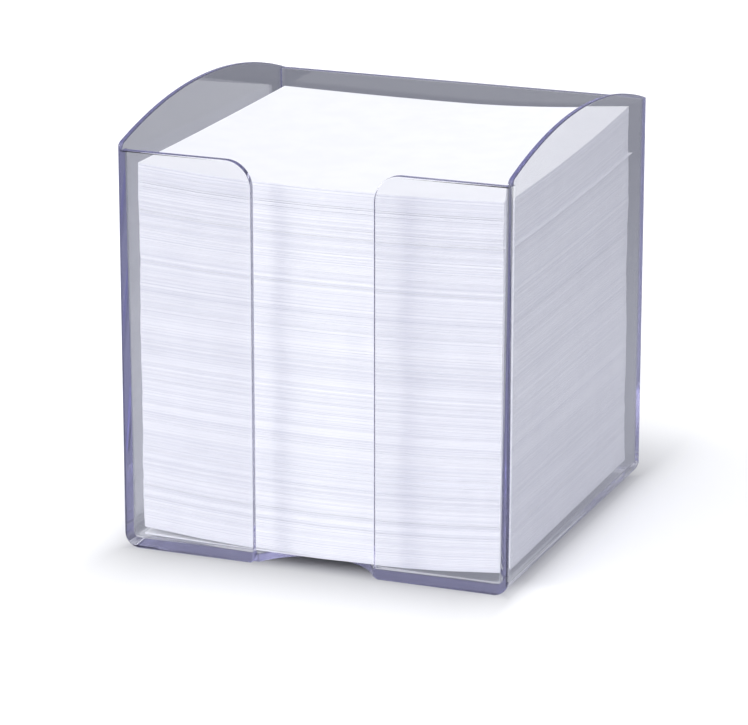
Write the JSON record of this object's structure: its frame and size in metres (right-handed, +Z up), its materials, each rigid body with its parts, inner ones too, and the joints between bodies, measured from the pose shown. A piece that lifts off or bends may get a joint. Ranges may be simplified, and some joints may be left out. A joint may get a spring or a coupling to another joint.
{
  "type": "memo cube holder",
  "caption": "Open-topped clear box for a cube of loose note sheets, with arched side walls and a full-height finger slot in front.",
  "frame": {"origin": "under the middle of the box, on the surface that it stands on", "axes": "+Z up; the finger slot faces -Y; +X is to the right seen from the front"},
  "size_m": [0.0974, 0.0974, 0.1055],
  "materials": {
    "clear_styrene": "polished, clear",
    "note_paper": "uncoated, white"
  },
  "bodies": {
    "holder": {"clear_holder": "clear_styrene"},
    "note_stack": {"sheet_packet_01": "note_paper", "sheet_packet_02": "note_paper", "sheet_packet_03": "note_paper", "sheet_packet_04": "note_paper", "sheet_packet_05": "note_paper", "sheet_packet_06": "note_paper", "sheet_packet_07": "note_paper", "sheet_packet_08": "note_paper", "sheet_packet_09": "note_paper", "sheet_packet_10": "note_paper", "sheet_packet_11": "note_paper", "sheet_packet_12": "note_paper", "sheet_packet_13": "note_paper", "sheet_packet_14": "note_paper", "sheet_packet_15": "note_paper", "sheet_packet_16": "note_paper", "sheet_packet_17": "note_paper", "sheet_packet_18": "note_paper", "sheet_packet_19": "note_paper", "sheet_packet_20": "note_paper", "sheet_packet_21": "note_paper", "sheet_packet_22": "note_paper", "sheet_packet_23": "note_paper", "sheet_packet_24": "note_paper", "sheet_packet_25": "note_paper", "sheet_packet_26": "note_paper", "sheet_packet_27": "note_paper", "sheet_packet_28": "note_paper", "sheet_packet_29": "note_paper", "sheet_packet_30": "note_paper", "sheet_packet_31": "note_paper", "sheet_packet_32": "note_paper", "sheet_packet_33": "note_paper", "sheet_packet_34": "note_paper", "sheet_packet_35": "note_paper", "sheet_packet_36": "note_paper", "sheet_packet_37": "note_paper", "sheet_packet_38": "note_paper", "sheet_packet_39": "note_paper", "sheet_packet_40": "note_paper", "sheet_packet_41": "note_paper", "sheet_packet_42": "note_paper", "sheet_packet_43": "note_paper", "sheet_packet_44": "note_paper", "sheet_packet_45": "note_paper", "sheet_packet_46": "note_paper", "sheet_packet_47": "note_paper"},
    "top_sheet": {"top_sheet": "note_paper"}
  },
  "joints": [
    {"name": "stack_lift", "type": "slide", "parent": "holder", "child": "note_stack", "axis": [0, 0, 1], "range_m": [0, 0.108]},
    {"name": "top_sheet_lift", "type": "slide", "parent": "note_stack", "child": "top_sheet", "axis": [0, 0, 1], "range_m": [0, 0.018]}
  ]
}
